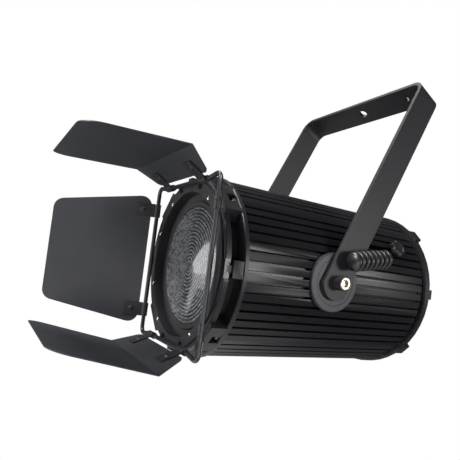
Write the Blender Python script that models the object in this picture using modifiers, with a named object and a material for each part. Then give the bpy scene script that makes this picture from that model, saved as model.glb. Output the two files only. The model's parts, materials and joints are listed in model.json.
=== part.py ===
"""Stage fresnel spotlight with a flat-bar yoke, a ribbed tube housing and a four-leaf barn door.

Metres, +Z up. The origin is the middle of the hanging hole, on the top face of the yoke's crossbar.
The lamp hangs below it with its front towards -Y. The head is modelled in the lamp frame (origin on
the pivot axis, +Y to the rear along the optical axis, +X to the side with the lock lever), and an
empty on the pivot tilts all of it nose down.
"""

from math import asin, cos, degrees, pi, radians, sin, sqrt, tan

import bmesh
import bpy
from mathutils import Matrix, Vector

# ---------------------------------------------------------------- driving dimensions (m, degrees)
GAP = 0.0003                    # between pieces that touch on the real lamp
RUN = 0.0004                    # radial running clearance

BODY_RADIUS = 0.118             # over the fin crests
BODY_LENGTH = 0.300             # ribbed extrusion
BODY_FRONT = -0.129             # front end of the extrusion, ahead of the pivot axis
FIN_DEPTH = 0.007
WALL = 0.004                    # tube wall under the fins
FINS_PER_QUADRANT = 14
BAND_HALF_ANGLE = 4.2           # broad plain bands at 45, 135, 225 and 315 degrees
GROOVE_ANGLE = 1.6

YOKE_HEIGHT = 0.320             # pivot axis to the crossbar's top face
YOKE_WIDTH = 0.040
YOKE_THICKNESS = 0.005
YOKE_BEND = 0.018               # outer radius of the two bends
YOKE_END_RADIUS = 0.023
YOKE_SIDE_GAP = 0.0035          # fin crest to the arm's inner face
HANG_HOLE_RADIUS = 0.0065
SAFETY_HOLE_RADIUS = 0.0033
SAFETY_HOLE_X = 0.086
REST_TILT = 25.2                # nose down

DISC_RADIUS = 0.0375
DISC_PROUD = 0.003              # tilt disc beyond the fin crests
DISC_THICKNESS = 0.006
BOLT_RADIUS = 0.005
BOLT_HEAD_RADIUS = 0.0080
BOLT_SEAT = 0.0065              # depth of sleeve under the bolt head
BOLT_SHY = 0.0006               # bolt head below the sleeve's rim
HEX_SOCKET_RADIUS = 0.0046
SLEEVE_RADIUS = 0.0092
SLEEVE_LENGTH = 0.0130

LEVER_HEIGHT = 0.032            # lock stud above the pivot, along the arm
LEVER_ANGLE = 35.0              # grip above square to the arm
LEVER_RADIUS = 0.0125
LEVER_HUB_LENGTH = 0.016
LEVER_DOME = 0.011
LEVER_STUD_RADIUS = 0.004
LEVER_RINGS = 7
LEVER_RING_PITCH = 0.0064

FLANGE_RADIUS = 0.1208          # bezel's rear flange
FLANGE_THICKNESS = 0.0055
BEZEL_DEPTH = 0.027             # extrusion's front end to the bezel's front face
BEZEL_RING_RADIUS = 0.1140
BEZEL_RING_THICKNESS = 0.0075
BARREL_RADIUS = 0.1020
APERTURE_RADIUS = 0.0956
POST_WIDTH = 0.046
POST_RADIUS = 0.1190
SCREW_CIRCLE = 0.1125
SCREW_RADIUS = 0.0025
LATCH_PIN_RADIUS = 0.0010
TIE_HEAD_RADIUS = 0.0046
TIE_HEAD_HEIGHT = 0.0035
TIE_BITE = 0.0085               # tie bolt's thread in the cap, behind its neck
ROD_BITE = 0.0035               # guide rod ends let into the bezel and the cap

LENS_RADIUS = 0.0800
LENS_EDGE = 0.0050
LENS_RECESS = 0.0110            # bezel front face to the lens holder's front face
LENS_STEPS = 5

RING_THICKNESS = 0.0020         # barn-door ring
RING_RADIUS = 0.1085
RETAINER_LIP = 0.0014
RETAINER_WIDTH = 0.012
RETAINER_SCREW = 0.0013
RETAINER_SCREW_AT = 0.1114
WIRE_RADIUS = 0.0030
WIRE_HALF_WIDTH = 0.0960
WIRE_HALF_HEIGHT = 0.1040       # straight part of the top and bottom rods
WIRE_HUMP = 0.0050              # corners stand this much higher
ARM_X = 0.029                   # arms that carry the wire, each side of the middle
WIRE_STANDOFF = 0.0069          # barn-door ring's front face to the wire's centre
SHEET = 0.0012

LEAF_ROOT_HALF = 0.078          # top and bottom leaves: half width at the hinge
LEAF_HALF = 0.096
LEAF_INNER = 0.047              # hinge to crease
LEAF_OUTER = 0.120              # crease to outer edge
LEAF_CREASE = 34.0
LEAF_CORNER = 0.020
TOP_FLARE = 32.0
BOTTOM_FLARE = 22.0
SIDE_ROOT_HALF = 0.097
SIDE_TIP_HALF = 0.0726
SIDE_LENGTH = 0.150
SIDE_CORNER = 0.015
FAR_FLARE = 22.0
NEAR_FLARE = 62.5
LEAF_START = 0.009              # wire's centre to the sheet's edge
CLIP_WIDTH = 0.020
CLIP_REACH = 0.031
CLIP_SHEET = 0.0014
CLIP_WALL = 0.0012
RIVET_RADIUS = 0.0015
RIVET_INSET = 0.0105
TOP_CLIP_X = 0.053
SIDE_CLIP_Z = 0.074

KNOB_ANGLE = 28.0               # zoom knob, up the near side
KNOB_Y = 0.119
KNOB_RADIUS = 0.0120
KNOB_HEIGHT = 0.0075
KNOB_LIFT = 0.0035              # fin crest to the knob's underside
KNOB_STEM_RADIUS = 0.0028
ZOOM_FORWARD = 0.075
ZOOM_BACK = 0.010

CARRIAGE_RADIUS = 0.1064
CARRIAGE_FLAT = -0.080          # lower edge, clear of the driver board
CARRIAGE_THICKNESS = 0.004
SINK_RADIUS = 0.072
SINK_LENGTH = 0.028
LED_RADIUS = 0.030
LED_THICKNESS = 0.003
ROD_RADIUS = 0.003
ROD_X = 0.1022

CAP_NECK = 0.0055               # dark neck between the extrusion and the cap's rim
CAP_RIM = 0.0100
CAP_RADIUS = 0.1207
PANEL_RADIUS = 0.0995
PANEL_THICKNESS = 0.0025
FAN_RADIUS = 0.0345
FAN_Z = 0.036
FAN_DEPTH = 0.016
BUTTON_RADIUS = 0.0042
BUTTON_TRAVEL = 0.0012
BUTTON_PITCH = 0.018

# ---------------------------------------------------------------- sizes that follow from them
BODY_REAR = BODY_FRONT + BODY_LENGTH
ROOT_RADIUS = BODY_RADIUS - FIN_DEPTH
BORE_RADIUS = ROOT_RADIUS - WALL
ARM_INNER = BODY_RADIUS + YOKE_SIDE_GAP
ARM_OUTER = ARM_INNER + YOKE_THICKNESS
DISC_OUTER = BODY_RADIUS + DISC_PROUD
DISC_INNER = DISC_OUTER - DISC_THICKNESS
BEZEL_FRONT = BODY_FRONT - BEZEL_DEPTH
HOLDER_FRONT = BEZEL_FRONT + LENS_RECESS
RING_REAR = BEZEL_FRONT - GAP
RING_FRONT = RING_REAR - RING_THICKNESS
RETAINER_FRONT = RING_FRONT - GAP - RETAINER_LIP
WIRE_Y = RING_FRONT - WIRE_STANDOFF
KNUCKLE_RADIUS = WIRE_RADIUS + RUN + CLIP_WALL
CAP_FRONT = BODY_REAR + GAP
CAP_REAR = CAP_FRONT + CAP_NECK + CAP_RIM
PANEL_FRONT = CAP_REAR - 0.0075
PANEL_REAR = PANEL_FRONT + PANEL_THICKNESS
TO_REAR = (-pi / 2, 0, 0)       # turns a piece's own +Z to the lamp's +Y

# ---------------------------------------------------------------- scene, collections, materials
for old in list(bpy.data.objects):
    bpy.data.objects.remove(old, do_unlink=True)

parts = bpy.data.collections.new("fresnel_spotlight")
cutters = bpy.data.collections.new("cutters")
bpy.context.scene.collection.children.link(parts)
bpy.context.scene.collection.children.link(cutters)


def principled(name, colour, roughness, metallic=0.0, transmission=0.0):
    material = bpy.data.materials.new(name)
    material.use_nodes = True
    shader = material.node_tree.nodes["Principled BSDF"]
    shader.inputs["Base Color"].default_value = (*colour, 1)
    shader.inputs["Roughness"].default_value = roughness
    shader.inputs["Metallic"].default_value = metallic
    shader.inputs["Transmission Weight"].default_value = transmission
    material.diffuse_color = (*colour, 1)
    return material


BLACK_COAT = principled("black_powder_coat", (0.018, 0.018, 0.020), 0.48)
BLACK_ANODISED = principled("black_anodised", (0.020, 0.020, 0.022), 0.38, 0.3)
BLACK_CAST = principled("black_cast_alloy", (0.016, 0.016, 0.018), 0.52)
BLACK_PLASTIC = principled("black_plastic", (0.012, 0.012, 0.013), 0.40)
BRIGHT_STEEL = principled("bright_steel", (0.62, 0.61, 0.58), 0.25, 1.0)
BLACK_STEEL = principled("black_steel", (0.03, 0.03, 0.03), 0.35, 0.8)
BARE_ALUMINIUM = principled("bare_aluminium", (0.60, 0.61, 0.62), 0.35, 1.0)
LENS_GLASS = principled("lens_glass", (0.80, 0.83, 0.85), 0.10, 0.0, 0.85)
BOARD_GREEN = principled("circuit_board", (0.02, 0.09, 0.04), 0.45)
LED_CERAMIC = principled("led_ceramic", (0.85, 0.82, 0.55), 0.50)

# ---------------------------------------------------------------- making pieces


def frame(name, location=(0, 0, 0), rotation=(0, 0, 0), parent=None):
    """An empty that carries the pieces on one joint axis."""
    empty = bpy.data.objects.new(name, None)
    empty.location = location
    empty.rotation_euler = rotation
    empty.parent = parent
    parts.objects.link(empty)
    return empty


def place(obj, parent, location=(0, 0, 0), rotation=(0, 0, 0)):
    obj.parent = parent
    obj.location = location
    obj.rotation_euler = rotation
    return obj


def piece(name, mesh, material, smooth=40):
    obj = bpy.data.objects.new(name, mesh)
    if material is None:
        obj.hide_render = True
        obj.display_type = "WIRE"
        cutters.objects.link(obj)
    else:
        own = material.copy()
        own.name = name + "_" + material.name
        mesh.materials.append(own)
        parts.objects.link(obj)
    if smooth and mesh.polygons:
        mesh.shade_smooth()
        mesh.set_sharp_from_angle(angle=radians(smooth))
    return obj


def mesh_from(name, bm):
    mesh = bpy.data.meshes.new(name)
    bm.to_mesh(mesh)
    bm.free()
    return mesh


def add_box(bm, low, high, turn=None):
    """A box between two corners, turned about the origin by the matrix turn."""
    size = Vector(high) - Vector(low)
    middle = (Vector(high) + Vector(low)) / 2
    made = bmesh.ops.create_cube(bm, size=1)
    matrix = (turn or Matrix()) @ Matrix.Translation(middle) @ Matrix.Diagonal((*size, 1))
    bmesh.ops.transform(bm, matrix=matrix, verts=made["verts"])


def add_cylinder(bm, radius, length, matrix=None, segments=32, top_radius=None):
    """A cylinder from its base at the origin along +Z, moved by the matrix."""
    made = bmesh.ops.create_cone(
        bm, cap_ends=True, segments=segments, radius1=radius,
        radius2=radius if top_radius is None else top_radius, depth=length)
    shift = (matrix or Matrix()) @ Matrix.Translation((0, 0, length / 2))
    bmesh.ops.transform(bm, matrix=shift, verts=made["verts"])


def boxes(name, material, corners, turn=None):
    """One object of one or more boxes, each given by its low and high corner."""
    bm = bmesh.new()
    for low, high in corners:
        add_box(bm, low, high, turn)
    return piece(name, mesh_from(name, bm), material, smooth=0)


def cylinders(name, material, radius, length, matrices, segments=32, top_radius=None):
    bm = bmesh.new()
    for matrix in matrices:
        add_cylinder(bm, radius, length, matrix, segments, top_radius)
    return piece(name, mesh_from(name, bm), material)


def add_modifier(obj, kind, **settings):
    modifier = obj.modifiers.new(kind.lower(), kind)
    for key, value in settings.items():
        setattr(modifier, key, value)
    return modifier


def boolean(obj, other, operation="DIFFERENCE"):
    add_modifier(obj, "BOOLEAN", object=other, operation=operation, solver="EXACT")
    return obj


def turned(name, material, profile, segments=64, closed=True, smooth=30):
    """A profile of (radius, height) turned about the piece's own Z. The outer side runs downwards."""
    mesh = bpy.data.meshes.new(name)
    points = [(radius, 0, height) for radius, height in profile]
    edges = [(i, i + 1) for i in range(len(points) - 1)]
    if closed:
        edges.append((len(points) - 1, 0))
    mesh.from_pydata(points, edges, [])
    obj = piece(name, mesh, material, smooth=0)
    add_modifier(obj, "SCREW", axis="Z", angle=2 * pi, steps=segments, render_steps=segments,
                 use_merge_vertices=True, merge_threshold=0.00001, use_smooth_shade=False)
    return obj


def ring_profile(inner, outer, low, high):
    return [(outer, high), (outer, low), (inner, low), (inner, high)]


def outline_curve(name, loops, thickness):
    """A flat shape in the piece's own XY plane, thickness thick about it; later loops are holes."""
    curve = bpy.data.curves.new(name, "CURVE")
    curve.dimensions = "2D"
    curve.fill_mode = "BOTH"
    curve.extrude = thickness / 2
    for loop in loops:
        spline = curve.splines.new("POLY")
        spline.points.add(len(loop) - 1)
        for point, (x, y) in zip(spline.points, loop):
            point.co = (x, y, 0, 1)
        spline.use_cyclic_u = True
    return curve


def curve_mesh(name, curve):
    """The welded mesh of a curve, which Booleans can use."""
    guide = bpy.data.objects.new(name + "_curve", curve)
    bpy.context.scene.collection.objects.link(guide)
    bpy.context.view_layer.update()
    evaluated = guide.evaluated_get(bpy.context.evaluated_depsgraph_get())
    mesh = bpy.data.meshes.new_from_object(evaluated)
    bpy.data.objects.remove(guide, do_unlink=True)
    bm = bmesh.new()
    bm.from_mesh(mesh)
    bmesh.ops.remove_doubles(bm, verts=bm.verts, dist=0.000005)
    bmesh.ops.recalc_face_normals(bm, faces=bm.faces)
    bm.to_mesh(mesh)
    bm.free()
    mesh.materials.clear()
    mesh.name = name
    return mesh


def flat(name, material, loops, thickness):
    return piece(name, curve_mesh(name, outline_curve(name, loops, thickness)), material, smooth=30)


def circle(radius, segments, centre=(0, 0)):
    return [(centre[0] + radius * cos(2 * pi * i / segments), centre[1] + radius * sin(2 * pi * i / segments))
            for i in range(segments)]


def arc(centre, radius, start, end, steps):
    """Points on an arc, both ends included, angles in degrees."""
    angles = [radians(start + (end - start) * i / steps) for i in range(steps + 1)]
    return [(centre[0] + radius * cos(a), centre[1] + radius * sin(a)) for a in angles]


def rounded(corners, radii, steps=6):
    """A closed outline of straight sides whose corners are tangent arcs; radius 0 leaves a corner."""
    points = []
    for i, (corner, radius) in enumerate(zip(corners, radii)):
        here = Vector(corner)
        before = (Vector(corners[i - 1]) - here).normalized()
        after = (Vector(corners[(i + 1) % len(corners)]) - here).normalized()
        half = before.angle(after) / 2
        if radius == 0:
            points.append(tuple(here))
            continue
        start, end = here + before * radius / tan(half), here + after * radius / tan(half)
        centre = here + (before + after).normalized() * radius / sin(half)
        first, last = start - centre, end - centre
        sweep = first.angle_signed(last)
        for step in range(steps + 1):
            turn = Matrix.Rotation(-sweep * step / steps, 2)
            points.append(tuple(centre + turn @ first))
    return points


def spin_y(angle):
    """A turn about the lamp axis: positive lifts the near side (+X) towards +Z."""
    return Matrix.Rotation(-radians(angle), 4, "Y")


def along(direction, origin=(0, 0, 0)):
    """A matrix that carries +Z to the direction and the origin to the point."""
    turn = Vector((0, 0, 1)).rotation_difference(Vector(direction)).to_matrix().to_4x4()
    return Matrix.Translation(origin) @ turn


QUARTERS = (45, 135, 225, 315)
RETAINER_ANGLES = (90, 180, 270)

# ---------------------------------------------------------------- joint frames
pivot = frame("tilt_pivot", (0, 0, -YOKE_HEIGHT))
head = frame("lamp_head", (0, 0, 0), (radians(REST_TILT), 0, 0), pivot)
lever = frame("tilt_lock_axis", (ARM_OUTER + GAP + LEVER_RADIUS, 0, LEVER_HEIGHT),
              (radians(LEVER_ANGLE), 0, 0), pivot)
carriage = frame("zoom_carriage", (0, KNOB_Y, 0), (0, 0, 0), head)
knob_lean = radians(90 - KNOB_ANGLE)
knob_axis = frame("zoom_knob_axis", (BODY_RADIUS * cos(radians(KNOB_ANGLE)), 0,
                                     BODY_RADIUS * sin(radians(KNOB_ANGLE))), (0, knob_lean, 0), carriage)
barn_door = frame("barn_door_turn", (0, WIRE_Y, 0), (0, 0, 0), head)
LATCH_X, LATCH_Y = RING_RADIUS + 0.0068, BEZEL_FRONT + 0.0030
latch = frame("latch_axis", (LATCH_X, LATCH_Y, 0), (0, 0, 0), head)
fan_axis = frame("fan_axis", (0, PANEL_FRONT - GAP - FAN_DEPTH / 2, FAN_Z), TO_REAR, head)


# ---------------------------------------------------------------- yoke and tilt lock
def make_yoke():
    """A flat bar bent into a U, hung from the hole in its crossbar."""
    legs = YOKE_HEIGHT + YOKE_END_RADIUS
    inner_bend = YOKE_BEND - YOKE_THICKNESS
    outer = [(-ARM_OUTER, -legs), (-ARM_OUTER, 0), (ARM_OUTER, 0), (ARM_OUTER, -legs)]
    inner = [(ARM_INNER, -legs), (ARM_INNER, -YOKE_THICKNESS), (-ARM_INNER, -YOKE_THICKNESS),
             (-ARM_INNER, -legs)]
    loop = rounded(outer + inner, [0, YOKE_BEND, YOKE_BEND, 0, 0, inner_bend, inner_bend, 0], 8)
    bar = flat("yoke_bar", BLACK_COAT, [loop], YOKE_WIDTH)
    bar.rotation_euler = (pi / 2, 0, 0)

    reach = ARM_OUTER + 0.02
    half = YOKE_WIDTH / 2
    corner = degrees(asin(sqrt(YOKE_END_RADIUS ** 2 - half ** 2) / YOKE_END_RADIUS))
    waste = arc((0, 0), YOKE_END_RADIUS, 180 + corner, 360 - corner, 14)
    waste += [(half + 0.01, waste[-1][1]), (half + 0.01, -0.06), (-half - 0.01, -0.06),
              (-half - 0.01, waste[0][1])]
    end_cut = flat("yoke_end_cut", None, [waste], 2 * reach)
    place(end_cut, pivot, (0, 0, 0), (pi / 2, 0, pi / 2))
    boolean(bar, end_cut)

    across = along((1, 0, 0), (-reach, 0, 0))
    bolt_hole = cylinders("yoke_pivot_hole", None, BOLT_RADIUS + RUN, 2 * reach, [across], 32)
    place(bolt_hole, pivot)
    stud_hole = cylinders("yoke_stud_hole", None, LEVER_STUD_RADIUS + RUN, 0.03,
                          [along((1, 0, 0), (ARM_INNER - 0.01, 0, LEVER_HEIGHT))], 32)
    place(stud_hole, pivot)
    hang = cylinders("hang_hole", None, HANG_HOLE_RADIUS, 0.03, [Matrix.Translation((0, 0, -0.015))], 32)
    safety = cylinders("safety_hole", None, SAFETY_HOLE_RADIUS, 0.03,
                       [Matrix.Translation((SAFETY_HOLE_X, 0, -0.015))], 24)
    for cutter in (bolt_hole, stud_hole, hang, safety):
        boolean(bar, cutter)


def make_tilt_lock():
    """A hub on a stud through the near arm, and a ribbed grip square to the stud."""
    spigot = LEVER_RADIUS * 0.42
    grip_length = LEVER_RINGS * LEVER_RING_PITCH
    shoulder = LEVER_HUB_LENGTH / 2
    dome = [(LEVER_RADIUS * cos(a), -LEVER_DOME * sin(a)) for a in (radians(22.5 * k) for k in range(4))]
    profile = [(0, shoulder + grip_length * 0.8), (spigot, shoulder + grip_length * 0.8),
               (spigot, shoulder), (LEVER_RADIUS, shoulder)] + dome + [(0, -LEVER_DOME)]
    hub = turned("lock_hub", BLACK_PLASTIC, profile, 20, closed=False)
    place(hub, lever, (0, 0, 0), TO_REAR)
    stud = cylinders("lock_stud", None, LEVER_STUD_RADIUS, LEVER_RADIUS + YOKE_THICKNESS,
                     [along((-1, 0, 0))], 24)
    place(stud, lever)
    boolean(hub, stud, "UNION")

    base = shoulder + GAP
    bore = spigot + GAP
    rings = []
    for ring in reversed(range(LEVER_RINGS)):
        low = base + ring * LEVER_RING_PITCH
        rings += [(LEVER_RADIUS, low + LEVER_RING_PITCH * 0.80),
                  (LEVER_RADIUS, low + LEVER_RING_PITCH * 0.30),
                  (LEVER_RADIUS * 0.76, low + LEVER_RING_PITCH * 0.10)]
    top = base + grip_length
    profile = [(0, top), (LEVER_RADIUS * 0.76, top)] + rings
    profile += [(LEVER_RADIUS * 0.76, base), (bore, base), (bore, base + grip_length * 0.8 + GAP),
                (0, base + grip_length * 0.8 + GAP)]
    place(turned("lock_grip", BLACK_PLASTIC, profile, 20, closed=False), lever, (0, 0, 0), TO_REAR)


def make_pivots():
    """On each side: a tilt disc let into the fins, a sleeve outside the arm, and a socket-head bolt."""
    for side, sign in (("near", 1), ("far", -1)):
        outward = (sign, 0, 0)
        disc = turned("tilt_disc_" + side, BLACK_COAT,
                      ring_profile(BOLT_RADIUS + GAP, DISC_RADIUS, 0, DISC_THICKNESS), 40)
        place(disc, head, (sign * DISC_INNER, 0, 0), (0, sign * pi / 2, 0))
        bore, room = BOLT_RADIUS + GAP, BOLT_HEAD_RADIUS + GAP
        profile = [(SLEEVE_RADIUS, SLEEVE_LENGTH), (SLEEVE_RADIUS, 0), (bore, 0), (bore, BOLT_SEAT),
                   (room, BOLT_SEAT), (room, SLEEVE_LENGTH)]
        sleeve = turned("pivot_sleeve_" + side, BLACK_PLASTIC, profile, 20)
        place(sleeve, head, (sign * (ARM_OUTER + GAP), 0, 0), (0, sign * pi / 2, 0))
        seat = ARM_OUTER + BOLT_SEAT + 2 * GAP
        tip = BORE_RADIUS + 0.001
        head_height = SLEEVE_LENGTH - BOLT_SEAT - BOLT_SHY
        profile = [(0, head_height), (BOLT_HEAD_RADIUS, head_height), (BOLT_HEAD_RADIUS, 0),
                   (BOLT_RADIUS, 0), (BOLT_RADIUS, tip - seat), (0, tip - seat)]
        bolt = turned("pivot_bolt_" + side, BRIGHT_STEEL, profile, 20, closed=False)
        place(bolt, head, (sign * seat, 0, 0), (0, sign * pi / 2, 0))
        socket = cylinders("bolt_socket_" + side, None, HEX_SOCKET_RADIUS, 0.01,
                           [along(outward, (sign * (seat + head_height - 0.0035), 0, 0))], 6)
        place(socket, head)
        boolean(bolt, socket)


# ---------------------------------------------------------------- housing
def fin_outline():
    """The extrusion's outer outline: flat-topped fins, and a broad plain band in each quarter."""
    points = []
    span = 90 - 2 * BAND_HALF_ANGLE
    fin_angle = (span - (FINS_PER_QUADRANT + 1) * GROOVE_ANGLE) / FINS_PER_QUADRANT
    for band in QUARTERS:
        points += arc((0, 0), BODY_RADIUS, band - BAND_HALF_ANGLE, band + BAND_HALF_ANGLE, 2)
        start = band + BAND_HALF_ANGLE
        for groove in range(FINS_PER_QUADRANT + 1):
            first = start + groove * (fin_angle + GROOVE_ANGLE)
            points += arc((0, 0), ROOT_RADIUS, first + 0.15, first + GROOVE_ANGLE - 0.15, 1)
            if groove < FINS_PER_QUADRANT:
                points += arc((0, 0), BODY_RADIUS, first + GROOVE_ANGLE,
                              first + GROOVE_ANGLE + fin_angle, 1)
    return points


def make_housing():
    body = flat("housing", BLACK_ANODISED, [fin_outline(), circle(BORE_RADIUS, 64)], BODY_LENGTH)
    place(body, head, (0, BODY_FRONT + BODY_LENGTH / 2, 0), (pi / 2, 0, 0))
    pocket_floor = DISC_INNER - GAP
    pockets = cylinders("disc_pockets", None, DISC_RADIUS + 0.001, 0.03,
                        [along((s, 0, 0), (s * pocket_floor, 0, 0)) for s in (1, -1)], 64)
    bolts = cylinders("bolt_holes", None, BOLT_RADIUS + GAP, 0.04,
                      [along((s, 0, 0), (s * (BORE_RADIUS - 0.01), 0, 0)) for s in (1, -1)], 32)
    half = KNOB_STEM_RADIUS + 0.0007
    slot = boxes("zoom_slot", None, [((BORE_RADIUS - 0.01, KNOB_Y - ZOOM_FORWARD - 0.006, -half),
                                      (BODY_RADIUS + 0.01, KNOB_Y + ZOOM_BACK + 0.006, half))],
                 spin_y(KNOB_ANGLE))
    ports = cylinders("screw_ports", None, SCREW_RADIUS + GAP, BODY_LENGTH + 0.02,
                      [spin_y(q) @ along((0, 1, 0), (SCREW_CIRCLE, BODY_FRONT - 0.01, 0))
                       for q in QUARTERS], 16)
    for cutter in (pockets, bolts, slot, ports):
        place(cutter, head)
        boolean(body, cutter)


# ---------------------------------------------------------------- front bezel and lens
def make_bezel():
    """A casting: rear flange, barrel and front ring, joined by four posts that hold the long screws."""
    flange_rear = BODY_FRONT - GAP
    flange_front = flange_rear - FLANGE_THICKNESS
    ring_rear = BEZEL_FRONT + BEZEL_RING_THICKNESS
    holder_room = LENS_RADIUS + 0.0182
    profile = [(FLANGE_RADIUS, flange_rear), (FLANGE_RADIUS, flange_front + 0.001),
               (FLANGE_RADIUS - 0.001, flange_front), (BARREL_RADIUS, flange_front),
               (BARREL_RADIUS, ring_rear), (BEZEL_RING_RADIUS, ring_rear),
               (BEZEL_RING_RADIUS, BEZEL_FRONT + 0.001), (BEZEL_RING_RADIUS - 0.001, BEZEL_FRONT),
               (APERTURE_RADIUS, BEZEL_FRONT), (APERTURE_RADIUS, HOLDER_FRONT - GAP),
               (holder_room, HOLDER_FRONT - GAP), (holder_room, flange_rear)]
    bezel = turned("front_bezel", BLACK_CAST, profile, 48)
    place(bezel, head, (0, 0, 0), TO_REAR)

    inside, half = BARREL_RADIUS - 0.0015, POST_WIDTH / 2
    bm = bmesh.new()
    for q in QUARTERS:
        add_box(bm, (inside, BEZEL_FRONT + 0.0008, -half),
                (POST_RADIUS, flange_front + 0.001, half), spin_y(q))
    add_box(bm, (inside, ring_rear, -0.0099), (FLANGE_RADIUS - 0.0015, flange_front + 0.001, 0.0099))
    posts = piece("bezel_posts", mesh_from("bezel_posts", bm), None, smooth=0)
    seat = boxes("latch_seat", None, [((LATCH_X - 0.0030, BEZEL_FRONT - 0.001, -0.0115),
                                       (FLANGE_RADIUS, ring_rear + 0.0005, 0.0115))])
    tongue = boxes("latch_tongue", None, [((LATCH_X - 0.0019, LATCH_Y - 0.0019, -0.004),
                                           (LATCH_X + 0.0019, ring_rear + 0.0015, 0.004))])
    pocket_half = 0.0062
    pockets = bmesh.new()
    for q in QUARTERS:
        add_box(pockets, (SCREW_CIRCLE - 0.0062, ring_rear + 0.002, -pocket_half),
                (POST_RADIUS + 0.01, flange_front - GAP, pocket_half), spin_y(q))
    pockets = piece("post_pockets", mesh_from("post_pockets", pockets), None, smooth=0)
    screw_holes = cylinders("bezel_screw_holes", None, SCREW_RADIUS + GAP, FLANGE_THICKNESS + 0.006,
                            [spin_y(q) @ along((0, 1, 0), (SCREW_CIRCLE, flange_front - 0.003, 0))
                             for q in QUARTERS], 16)
    pin_hole = cylinders("latch_pin_hole", None, LATCH_PIN_RADIUS + GAP, 0.012,
                         [Matrix.Translation((LATCH_X, LATCH_Y, -0.006))], 16)
    retainer_holes = cylinders("retainer_screw_holes", None, RETAINER_SCREW + GAP, 0.0072,
                               [spin_y(q) @ along((0, 1, 0), (RETAINER_SCREW_AT, BEZEL_FRONT - 0.001, 0))
                                for q in RETAINER_ANGLES], 16)
    for cutter, operation in ((posts, "UNION"), (seat, "DIFFERENCE"), (tongue, "UNION"),
                              (pockets, "DIFFERENCE"),
                              (screw_holes, "DIFFERENCE"), (pin_hole, "DIFFERENCE"),
                              (retainer_holes, "DIFFERENCE")):
        place(cutter, head)
        boolean(bezel, cutter, operation)

    rod_holes = cylinders("bezel_rod_holes", None, ROD_RADIUS + GAP, 0.01,
                          [along((0, 1, 0), (s * ROD_X, flange_rear - ROD_BITE, 0)) for s in (1, -1)], 24)
    place(rod_holes, head)
    boolean(bezel, rod_holes)


def make_tie_bolts():
    """Four long bolts from the bezel's posts, through the plain bands, into the rear cap."""
    seat = BODY_FRONT - GAP - FLANGE_THICKNESS - GAP
    length = CAP_FRONT + CAP_NECK + TIE_BITE - seat
    for number, q in enumerate(QUARTERS, 1):
        turn = spin_y(q)
        bolt = cylinders(f"tie_bolt_{number}", BRIGHT_STEEL, TIE_HEAD_RADIUS, TIE_HEAD_HEIGHT,
                         [turn @ along((0, -1, 0), (SCREW_CIRCLE, seat, 0))], 6)
        shank = cylinders(f"tie_shank_{number}", None, SCREW_RADIUS, length + 0.001,
                          [turn @ along((0, 1, 0), (SCREW_CIRCLE, seat - 0.001, 0))], 16)
        for obj in (bolt, shank):
            place(obj, head)
        boolean(bolt, shank, "UNION")


def make_retainers():
    """Three small clamps whose lips keep the barn-door ring on the bezel, each with its own screw."""
    outer, foot = BEZEL_RING_RADIUS - 0.0004, RING_RADIUS + 0.0006
    lip = RING_RADIUS - 0.0036
    for number, q in enumerate(RETAINER_ANGLES, 1):
        profile = [(foot, RING_REAR), (outer, RING_REAR), (outer, RETAINER_FRONT), (lip, RETAINER_FRONT),
                   (lip, RETAINER_FRONT + RETAINER_LIP), (foot, RETAINER_FRONT + RETAINER_LIP)]
        clamp = flat(f"ring_retainer_{number}", BLACK_COAT, [profile], RETAINER_WIDTH)
        place(clamp, head, (0, 0, 0), (0, -radians(q), 0))
        screw = cylinders(f"retainer_screw_{number}", None, RETAINER_SCREW, 0.0060,
                          [along((0, 1, 0), (RETAINER_SCREW_AT, RETAINER_FRONT + 0.0010, 0))], 16)
        place(screw, head, (0, 0, 0), (0, -radians(q), 0))
        boolean(clamp, screw, "UNION")


def make_latch():
    """A hook on a pin that swings outwards to free the barn-door ring."""
    back = 0.0020
    inner = RING_RADIUS + 0.0042 - LATCH_X
    outer = 0.0034
    front = RETAINER_FRONT - LATCH_Y
    hook = RING_RADIUS - 0.0042 - LATCH_X
    loop = [(inner, front + RETAINER_LIP), (hook, front + RETAINER_LIP), (hook, front),
            (outer - 0.001, front),
            (outer, front + 0.001), (outer, back - 0.0012), (outer - 0.0012, back),
            (inner + 0.0013, back), (inner, back - 0.0013)]
    body = flat("accessory_latch", BLACK_PLASTIC, [loop], 0.022)
    place(body, latch)
    slot = boxes("latch_slot", None, [((inner - 0.001, -0.0029, -0.0045),
                                       (outer + 0.001, back + 0.001, 0.0045))])
    hole = cylinders("latch_hole", None, LATCH_PIN_RADIUS + GAP, 0.03,
                     [Matrix.Translation((0, 0, -0.015))], 16)
    for cutter in (slot, hole):
        place(cutter, latch)
        boolean(body, cutter)
    pin = cylinders("latch_pin", BRIGHT_STEEL, LATCH_PIN_RADIUS, 0.0214,
                    [Matrix.Translation((0, 0, -0.0107))], 16)
    place(pin, head, (LATCH_X, LATCH_Y, 0))


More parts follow.
